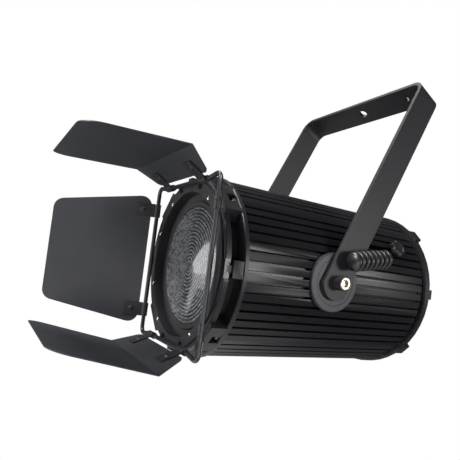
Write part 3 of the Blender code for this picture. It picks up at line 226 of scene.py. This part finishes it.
def plain_grain(name, dark, light, roughness, metallic=0.0):
    """A quiet finish for pieces inside or small: two close tones mixed by a fine grain."""
    grain_mm = 2.0
    material, tree, shader, place = blank(name)
    shader.inputs["Metallic"].default_value = metallic
    grain = noise(tree, place, 1000.0 / grain_mm, 3.0)
    join(tree, shader, tones(tree, grain, (0.35, dark), (0.65, light)),
         spread(tree, grain, roughness - 0.05, roughness + 0.07))
    return material


YOKE_COAT = coated("satin_black_powder_coat", "#131316", "#1a1a1e", 0.46, 0.60, 1.6, 0.05)
LEAF_COAT = coated("leaf_powder_coat", "#242529", "#2e2f34", 0.38, 0.52, 1.5, 0.04)
CAST_COAT = coated("coated_casting", "#131316", "#1d1d21", 0.36, 0.52, 2.2, 0.06)
SEAT_COAT = coated("matt_black_lens_seat", "#09090b", "#0f0f12", 0.55, 0.72, 2.0, 0.05)
DISC_COAT = coated("satin_disc_coat", "#1c1c20", "#26262b", 0.40, 0.52, 1.2, 0.03)
WIRE_COAT = coated("dipped_wire_coat", "#111113", "#1b1b1e", 0.28, 0.40, 2.5, 0.03)
PANEL_COAT = coated("fine_panel_coat", "#1a1a1c", "#222225", 0.48, 0.62, 1.2, 0.04)
FINS = anodised_fins()
LEVER_ABS = moulded("lever_moulding", "#121213", "#1c1c1e", 0.36)
KNOB_ABS = moulded("knob_moulding", "#121213", "#1b1b1d", 0.40)
SOCKET_ABS = moulded("socket_moulding", "#0f0f10", "#18181a", 0.46)
LATCH_ABS = moulded("latch_moulding", "#0d0d0e", "#151517", 0.34)
BUTTON_ABS = moulded("button_moulding", "#2c2d30", "#38393d", 0.42)
NICKEL = plated("nickel_plate", "#d6d2c6", "#a29d92", 0.24)
ZINC = plated("dull_zinc_plate", "#8f8c85", "#66635c", 0.34)
GLASS = stippled_glass()
BARE = plain_grain("bare_extruded_aluminium", "#9a9da0", "#b4b7ba", 0.36, 0.9)
BOARD = plain_grain("green_solder_mask", "#0e3a22", "#16492c", 0.42)
PHOSPHOR = plain_grain("yellow_phosphor", "#d8c45a", "#e6d67c", 0.55)
WINDOW = plain_grain("smoked_window", "#0a0d10", "#10151a", 0.12)

# ------------------------------------------------------------------ making pieces


def quads(rows, columns, wrap_rows, wrap_columns):
    """Corner numbers of every quad of a grid, wrapped round in either direction if asked."""
    i, j = np.meshgrid(np.arange(rows if wrap_rows else rows - 1),
                       np.arange(columns if wrap_columns else columns - 1), indexing="ij")
    k, m = (i + 1) % rows, (j + 1) % columns
    corners = [i * columns + j, k * columns + j, k * columns + m, i * columns + m]
    return np.stack(corners, -1).reshape(-1, 4)


def shell(name, grids, place):
    """One welded mesh of grids (array, wrap rows, wrap columns), moved by a place matrix."""
    points, faces, count = [], [], 0
    for grid, wrap_rows, wrap_columns in grids:
        faces.append(quads(grid.shape[0], grid.shape[1], wrap_rows, wrap_columns) + count)
        points.append(grid.reshape(-1, 3))
        count += grid.shape[0] * grid.shape[1]
    points, faces = np.concatenate(points), np.concatenate(faces)
    mesh = bpy.data.meshes.new(name)
    mesh.from_pydata(points.tolist(), [], faces.tolist())
    mesh.transform(place)
    bm = bmesh.new()
    bm.from_mesh(mesh)
    bmesh.ops.remove_doubles(bm, verts=bm.verts, dist=0.000002)
    bmesh.ops.recalc_face_normals(bm, faces=bm.faces)
    bm.to_mesh(mesh)
    bm.free()
    return mesh


def turned(profile, segments=128):
    """A profile of (radius, height) turned about Z: (r cos a, r sin a, h)."""
    profile = np.asarray(profile, float)
    angle = np.linspace(0, 2 * pi, segments, endpoint=False)[:, None]
    radius, height = profile[None, :, 0], profile[None, :, 1]
    return np.stack([radius * np.cos(angle), radius * np.sin(angle), height + 0 * angle], -1)


def fit(name, mesh, material, body, nodes=(), edge=0.0, smooth=35):
    """Puts a mesh on the object: its finish, body, the nodes it stands for, rounded edges."""
    piece = bpy.data.objects.new(name, mesh)
    bpy.context.scene.collection.objects.link(piece)
    mesh.materials.clear()
    mesh.materials.append(material)
    mesh.shade_smooth()
    mesh.set_sharp_from_angle(angle=radians(smooth))
    if edge:
        bevel = piece.modifiers.new("edge", "BEVEL")
        bevel.width, bevel.segments, bevel.limit_method = edge, 2, "ANGLE"
        bevel.angle_limit, bevel.harden_normals = radians(30), True
    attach(piece, body)
    if nodes:
        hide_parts(*nodes)
    return piece


BODY_OF = {node: body for body, nodes in frame["record"]["behaviour"]["bodies"].items()
           for node in nodes}


def dressed(node, material, edge=0.0004, smooth=35):
    """A CAD node's own shape with welded faces and softly rounded edges, which catch the light."""
    bm = bmesh.new()
    bm.from_mesh(frame["nodes"][node].data)
    bmesh.ops.remove_doubles(bm, verts=bm.verts, dist=0.000004)
    bmesh.ops.dissolve_limit(bm, angle_limit=radians(0.6), verts=bm.verts, edges=bm.edges)
    mesh = bpy.data.meshes.new(node + "_finished")
    bm.to_mesh(mesh)
    bm.free()
    return fit(node + "_finished", mesh, material, BODY_OF[node], [node], edge,
               smooth)


def made(name, node, grids, place, material, smooth=35):
    """A piece made of grids that stands for one CAD node, on that node's body."""
    mesh = shell(name, grids, place)
    return fit(name, mesh, material, BODY_OF[node], [node], smooth=smooth)


# ------------------------------------------------------------------ lens and its seat


def make_lens():
    """Stepped lens: each zone falls as outer^2 - r^2, scaled to its tooth, on a shallow dome."""
    front, rear = HOLDER_FRONT + 0.0010, HOLDER_FRONT + 0.0080
    dome, least_tooth, tooth_growth, draft = 0.0022, 0.0006, 0.0016, 0.00008
    inner = np.concatenate([[0.0], LENS_CORE + LENS_PITCH * np.arange(LENS_ZONES + 1)])
    outer = np.append(inner[1:], LENS_EDGE)
    radius = inner[:, None] + (outer - inner)[:, None] * np.linspace(0, 1, 7)
    fall = (outer[:, None] ** 2 - radius ** 2) / (outer ** 2 - inner ** 2)[:, None]
    tooth = least_tooth + tooth_growth * (outer[:, None] / LENS_EDGE)
    bulge = tooth * fall + dome * (1 - (radius / LENS_EDGE) ** 2)
    radius[:, -1] -= draft
    face = np.stack([radius.ravel(), (front - bulge).ravel()], -1)
    back = np.array([[LENS_EDGE, rear], [0.0, rear]])
    grid = turned(np.concatenate([face, back]), 160)
    made("fresnel_lens_pressed", "fresnel_lens", [(grid, True, False)], OPTICAL, GLASS, 30)


def make_lens_seat():
    """Holder and retaining ring: closed profiles turned about the optical axis."""
    h = HOLDER_FRONT
    holder = [(0.0978, h + 0.0110), (0.0978, h + 0.0006), (0.0972, h), (0.0872, h),
              (0.0858, h + 0.0006), (0.0803, h + 0.0022), (0.0803, h + 0.0083),
              (0.0770, h + 0.0083), (0.0770, h + 0.0110)]
    lip = [(0.0852, h - 0.0003), (0.0852, h - 0.0012), (0.0848, h - 0.0016), (0.0800, h - 0.0016),
           (0.0782, h - 0.0006), (0.0776, h + 0.0004), (0.0797, h + 0.0006), (0.0797, h - 0.0003)]
    for name, node, profile in (("lens_holder_cast", "lens_holder", holder),
                                ("lens_ring_turned", "lens_retaining_ring", lip)):
        made(name, node, [(turned(profile, 160), True, True)], OPTICAL, SEAT_COAT)


# ------------------------------------------------------------------ frame, lever, knob, discs, bolts


def corner_arc(corner, before, after, radius, steps=9):
    """The arc tangent to both sides of a corner: centre + r (cos, sin) swept between the sides."""
    corner, before, after = (np.array(p, float) for p in (corner, before, after))
    u, v = before - corner, after - corner
    u, v = u / np.linalg.norm(u), v / np.linalg.norm(v)
    half = np.arccos(np.clip(u @ v, -1, 1)) / 2
    start, end = corner + u * radius / np.tan(half), corner + v * radius / np.tan(half)
    centre = corner + (u + v) / np.linalg.norm(u + v) * radius / np.sin(half)
    first, last = start - centre, end - centre
    sweep = np.arctan2(first[0] * last[1] - first[1] * last[0], first @ last)
    turn = np.linspace(0, sweep, steps)
    c, s = np.cos(turn), np.sin(turn)
    return centre + np.stack([c * first[0] - s * first[1], s * first[0] + c * first[1]], -1)


def make_wire():
    """A round wire bent to a loop: route + r (cos t n + sin t y), n being the loop's own normal."""
    x, z, hump, slope, radius = 0.096, 0.104, 0.005, 0.030, 0.003
    tight_bend, wide_bend = 0.009, 0.030
    corners = []
    for sx, sz in ((1, 1), (-1, 1), (-1, -1), (1, -1)):
        pair = [((sx * x, sz * (z + hump)), tight_bend), ((sx * (x - slope), sz * z), wide_bend)]
        corners += pair if sx * sz > 0 else pair[::-1]
    points = [c[0] for c in corners]
    route = np.concatenate([corner_arc(points[i], points[i - 1], points[(i + 1) % 8], corners[i][1])
                            for i in range(8)])
    ahead = np.roll(route, -1, 0) - np.roll(route, 1, 0)
    ahead /= np.linalg.norm(ahead, axis=1)[:, None]
    across = np.stack([ahead[:, 1], -ahead[:, 0]], -1)
    t = np.linspace(0, 2 * pi, 20, endpoint=False)
    ring = route[:, None, :] + radius * np.cos(t)[None, :, None] * across[:, None, :]
    level = WIRE_Y + radius * np.sin(t)[None, :] + 0 * ring[..., 0]
    grid = np.stack([ring[..., 0], level, ring[..., 1]], -1)
    made("wire_frame_bent", "wire_frame", [(grid, True, True)], LAMP, WIRE_COAT)


def ribbed(start, ribs, pitch, core, crest):
    """(radius, height) of stacked discs: core + rise (2.2 |sin| - 0.9, held to 0 to 1)^0.5."""
    t = np.linspace(0, ribs, ribs * 16 + 1)
    swell = np.clip(2.2 * np.abs(np.sin(pi * t)) - 0.9, 0, 1) ** 0.5
    return np.stack([core + (crest - core) * swell, start + t * pitch], -1)


def make_lever():
    """Locking lever along +Z: a round end cap, seven ribs in two pieces, a stud into the arm."""
    pitch, start, core, crest, joint = 0.0079, -0.0026, 0.0070, 0.0125, 0.0004
    cap_radius, cap_height, cap_gap = 0.0121, 0.0074, 0.0010
    stud_radius, stud_length = 0.0040, 0.0174
    split = start + pitch
    bow = np.linspace(0, pi / 2, 9)[::-1]
    cap = np.stack([cap_radius * np.cos(bow), start - cap_gap - cap_height * np.sin(bow)], -1)
    first = ribbed(start + joint, 1, pitch, core, crest)
    hub = np.concatenate([cap, first, [[0.0, split + joint]]])
    stud = turned([(0.0, 0.0), (stud_radius, 0.0), (stud_radius, stud_length), (0.0, stud_length)],
                  40)
    stud = np.stack([-stud[..., 2], stud[..., 1], stud[..., 0]], -1)
    made("lock_hub_moulded", "lock_hub", [(turned(hub, 64), True, False), (stud, True, False)],
         LEVER, LEVER_ABS, 50)
    grip = ribbed(split + joint, 6, pitch, core, crest)
    grip = np.concatenate([[[0.0, split + joint]], grip, [[0.0, grip[-1, 1]]]])
    made("lock_grip_ribbed", "lock_grip", [(turned(grip, 64), True, False)], LEVER, LEVER_ABS, 50)


def make_knob():
    """Lobed knob: radius = R (0.90 + 0.10 cos 6a), over a rounded shoulder and a sunk flat top."""
    full, lift = 0.0120, 0.0035
    angle = np.linspace(0, 2 * pi, 120, endpoint=False)[:, None]
    scale = np.array([[0.0, 0.86, 0.96, 1.0, 1.0, 0.96, 0.86, 0.70, 0.66, 0.0]])
    height = lift + np.array([[0.0, 0.0, 0.0003, 0.0010, 0.0056, 0.0068, 0.0074, 0.0075, 0.0069,
                               0.0069]])
    radius = full * scale * (0.90 + 0.10 * np.cos(6 * angle) * (scale > 0.7))
    grid = np.stack([radius * np.cos(angle), radius * np.sin(angle), height + 0 * angle], -1)
    made("zoom_knob_moulded", "zoom_knob", [(grid, True, False)], KNOB, KNOB_ABS, 40)


def make_discs():
    """Tilt discs: a turned plate with a chamfer and one shallow groove on its outer face."""
    bore, rim, inner, outer, groove = 0.0053, 0.0375, 0.1150, 0.1210, 0.0004
    profile = [(bore, inner), (rim, inner), (rim, outer - 0.0009), (rim - 0.0009, outer),
               (0.0300, outer), (0.0297, outer - groove), (0.0290, outer - groove),
               (0.0287, outer), (bore, outer)]
    for side, turn in SIDES:
        made(f"tilt_disc_{side}_turned", f"tilt_disc_{side}", [(turned(profile), True, True)], turn,
             DISC_COAT)


def make_bolts():
    """Socket-cap bolts: a turned head with a six-sided socket, r = apothem / cos(a mod 60 - 30)."""
    seat, top, tip, socket_floor = 0.1336, 0.1395, 0.1082, 0.0036
    head, shank, socket, head_chamfer = 0.0080, 0.0050, 0.0040, 0.0007
    angle = np.linspace(0, 2 * pi, 96, endpoint=False)[:, None]
    ring = 0 * angle
    six = socket / np.cos((angle % (pi / 3)) - pi / 6)
    heights = np.array([[top - socket_floor, top - socket_floor, top - 0.0005, top, top,
                         top - head_chamfer, seat, seat, tip, tip]])
    radii = np.concatenate([ring, six, six, six + 0.0004, ring + (head - head_chamfer), ring + head,
                            ring + head, ring + shank, ring + shank, ring], 1)
    grid = np.stack([radii * np.cos(angle), radii * np.sin(angle), heights + ring], -1)
    for side, turn in SIDES:
        made(f"pivot_bolt_{side}_plated", f"pivot_bolt_{side}", [(grid, True, False)], turn, NICKEL,
             30)


def make_sleeves():
    """Plastic sleeves round the bolt heads: one closed profile turned about the tilt axis."""
    bore, room, wall, foot, seat = 0.0053, 0.0083, 0.0092, 0.1268, 0.1333
    profile = [(bore, foot), (bore, seat), (room, seat), (room, 0.1394), (0.0085, 0.1397),
               (0.0088, 0.1397), (wall, 0.1393), (wall, foot)]
    for side, turn in SIDES:
        made(f"pivot_sleeve_{side}_turned", f"pivot_sleeve_{side}",
             [(turned(profile, 72), True, True)], turn, LEVER_ABS)


def make_ring_screws():
    """Small pan-head screws on the barn-door ring: a dome h = H (1 - (r/R)^2)^0.5 over a rim."""
    head, crown, rim, reach = 0.0026, 0.0011, 0.0003, 0.0993
    rise = np.linspace(0, 1, 7)
    dome = np.stack([head * rise, crown * np.sqrt(1 - rise ** 2) + rim], -1)
    profile = np.concatenate([dome, [[head, 0.0], [0.0, 0.0]]])
    for number, degrees in enumerate((55.6, 124.4, 155.9, 199.8, 235.6, 301.8), 1):
        a = radians(degrees)
        at = LAMP @ Matrix.Translation((reach * cos(a), RING_FACE, reach * sin(a))) @ TO_FRONT
        name = f"ring_screw_{number}"
        mesh = shell(name, [(turned(profile, 32), True, False)], at)
        fit(name, mesh, NICKEL, "barn_door", smooth=40)


# ------------------------------------------------------------------ rear details


def make_guard():
    """Fan guard: three rings and two crossed bars of round wire."""
    t = np.linspace(0, 2 * pi, 10, endpoint=False)
    wire, height = 0.0008, 0.0011
    grids = []
    for ring in (0.0109, 0.0214, 0.0319):
        profile = np.stack([ring + wire * np.cos(t), height + wire * np.sin(t)], -1)
        grids.append((turned(profile, 72), True, True))
    reach = np.array([-0.0368, -0.0367, 0.0367, 0.0368])
    thick = np.array([0.0, 1.0, 1.0, 0.0])[:, None] * wire
    for quarter in (0, pi / 2):
        c, s = cos(quarter), sin(quarter)
        across = thick * np.cos(t)[None, :]
        up = height + thick * np.sin(t)[None, :]
        run = reach[:, None] + 0 * across
        grids.append((np.stack([run * c - across * s, run * s + across * c, up], -1), False, True))
    place = LAMP @ Matrix.Translation((0, PANEL_REAR, FAN_Z)) @ TO_REAR
    made("fan_guard_wires", "fan_guard", grids, place, WIRE_COAT)


make_lens()
make_lens_seat()
make_wire()
make_lever()
make_knob()
make_discs()
make_bolts()
make_sleeves()
make_ring_screws()
make_guard()

for name in ("leaf_top", "leaf_bottom", "leaf_near", "leaf_far"):
    dressed(name, LEAF_COAT, 0.00035, 20)
for start, material, edge in (("clip_", YOKE_COAT, 0.00025), ("ring_retainer", YOKE_COAT, 0.0003),
                              ("tie_bolt", ZINC, 0.0003), ("menu_button", BUTTON_ABS, 0.0003)):
    for name in [n for n in frame["nodes"] if n.startswith(start)]:
        dressed(name, material, edge)
for name, material, edge in (
        ("yoke_bar", YOKE_COAT, 0.0007), ("housing", FINS, 0.0003),
        ("front_bezel", CAST_COAT, 0.0008), ("rear_cap", CAST_COAT, 0.0005),
        ("rear_panel", PANEL_COAT, 0.0003), ("barn_door_ring", YOKE_COAT, 0.0003),
        ("accessory_latch", LATCH_ABS, 0.0004), ("power_inlet", SOCKET_ABS, 0.0004),
        ("data_inlet", SOCKET_ABS, 0.0004), ("data_outlet", SOCKET_ABS, 0.0004),
        ("zoom_stem", NICKEL, 0.0003), ("latch_pin", NICKEL, 0.0002),
        ("fan_frame", SOCKET_ABS, 0.0003), ("fan_rotor", SOCKET_ABS, 0.0003),
        ("carriage_plate", BARE, 0.0003), ("heat_sink", BARE, 0.0002),
        ("guide_rod_near", NICKEL, 0.0003), ("guide_rod_far", NICKEL, 0.0003),
        ("driver_board", BOARD, 0.0002), ("led_board", PHOSPHOR, 0.0003),
        ("display_window", WINDOW, 0.0002)):
    dressed(name, material, edge)

# ------------------------------------------------------------------ floor, light, camera


def pale(name, code, roughness):
    """Matt studio paper: one pale tone with a barely visible fibre mottle."""
    material, tree, shader, place = blank(name)
    mottle = noise(tree, place, 60.0, 3.0)
    join(tree, shader, tones(tree, mottle, (0.3, code), (0.7, "#ffffff")))
    shader.inputs["Roughness"].default_value = roughness
    return material


def make_studio():
    """The floor, the world, six soft lamps aimed at the object's middle, and the camera."""
    half, level = 1.3, -1.15
    middle = Vector((0, 0, -0.3))
    floor_mesh = bpy.data.meshes.new("studio_floor")
    corners = [(x * half, y * half, level) for x, y in ((-1, -1), (1, -1), (1, 1), (-1, 1))]
    floor_mesh.from_pydata(corners, [], [(0, 1, 2, 3)])
    floor = bpy.data.objects.new("studio_floor", floor_mesh)
    floor_mesh.materials.append(pale("studio_paper", "#fbfbfb", 0.9))
    bpy.context.scene.collection.objects.link(floor)

    # white seen directly, and a much dimmer room for what the lamp itself receives
    world = bpy.data.worlds.new("studio_world")
    world.use_nodes = True
    tree = world.node_tree
    room = tree.nodes["Background"]
    room.inputs["Color"].default_value = (0.92, 0.96, 1, 1)
    room.inputs["Strength"].default_value = 0.11
    seen = add(tree, "Background", {"Color": (1, 1, 1, 1), "Strength": 1.0})
    ray = add(tree, "LightPath")
    mix = add(tree, "MixShader")
    tree.links.new(ray.outputs["Is Camera Ray"], mix.inputs[0])
    tree.links.new(room.outputs[0], mix.inputs[1])
    tree.links.new(seen.outputs[0], mix.inputs[2])
    tree.links.new(mix.outputs[0], tree.nodes["World Output"].inputs["Surface"])
    bpy.context.scene.world = world

    for name, spot, size, power in (("key_box", (0.4, -2.3, 0.3), 1.0, 66.0),
                                    ("top_box", (-0.4, -1.3, 1.4), 0.8, 46.0),
                                    ("front_box", (-0.62, -1.45, -0.95), 1.10, 14.0),
                                    ("side_box", (1.77, 0.84, 0.20), 0.55, 17.0),
                                    ("low_box", (1.3, -0.5, -1.0), 0.5, 4.5),
                                    ("rim_box", (-0.9, 2.1, 0.3), 1.0, 20.0)):
        light = bpy.data.lights.new(name, "AREA")
        light.shape, light.size, light.energy = "DISK", size, power
        lamp = bpy.data.objects.new(name, light)
        lamp.location = spot
        aim = middle - Vector(spot)
        lamp.rotation_euler = aim.to_track_quat("-Z", "Y").to_euler()
        bpy.context.scene.collection.objects.link(lamp)

    view = bpy.data.cameras.new("studio_camera")
    view.lens, view.sensor_width = 34.44, 36.0
    view.shift_x, view.shift_y = 0.0130, 0.0540
    view.clip_start = 0.01
    camera = bpy.data.objects.new("studio_camera", view)
    right = (0.48610, 0.72953, 0.48113)
    up = (-0.02748, -0.53752, 0.84280)
    back = (0.87347, -0.42291, -0.24124)
    turn = Matrix((right, up, back)).transposed().to_4x4()
    camera.matrix_world = Matrix.Translation((0.53355, -0.35297, -0.49046)) @ turn
    bpy.context.scene.collection.objects.link(camera)
    bpy.context.scene.camera = camera
    bpy.context.scene.view_settings.view_transform = "Standard"


make_studio()
